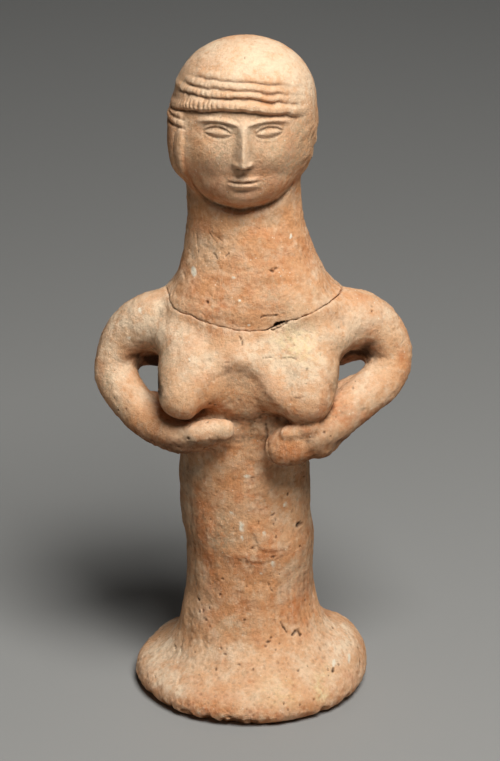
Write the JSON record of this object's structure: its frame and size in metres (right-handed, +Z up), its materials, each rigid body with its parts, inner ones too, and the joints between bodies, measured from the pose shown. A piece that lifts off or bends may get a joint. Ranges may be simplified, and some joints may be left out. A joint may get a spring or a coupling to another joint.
{
  "type": "pillar figurine",
  "caption": "Iron Age figurine of fired clay: a solid pillar on a splayed round foot, arms curved in under the breasts, and a moulded head set into the shoulders.",
  "frame": {"origin": "middle of the flat underside of the round foot, on the surface that the figurine stands on", "axes": "+Z up along the pillar, -Y the way that the figure faces, +X to the right of someone facing it"},
  "size_m": [0.08, 0.0614, 0.1723],
  "materials": {
    "body_clay": "unglazed fired clay, hand-smoothed and dry, worn and pitted, with cream, orange and grey patches",
    "head_clay": "unglazed fired clay, moulded and dry, paler and smoother on the crown, with earth in the grooves"
  },
  "bodies": {
    "root": {"body": "body_clay", "head_and_neck": "head_clay"}
  },
  "joints": []
}
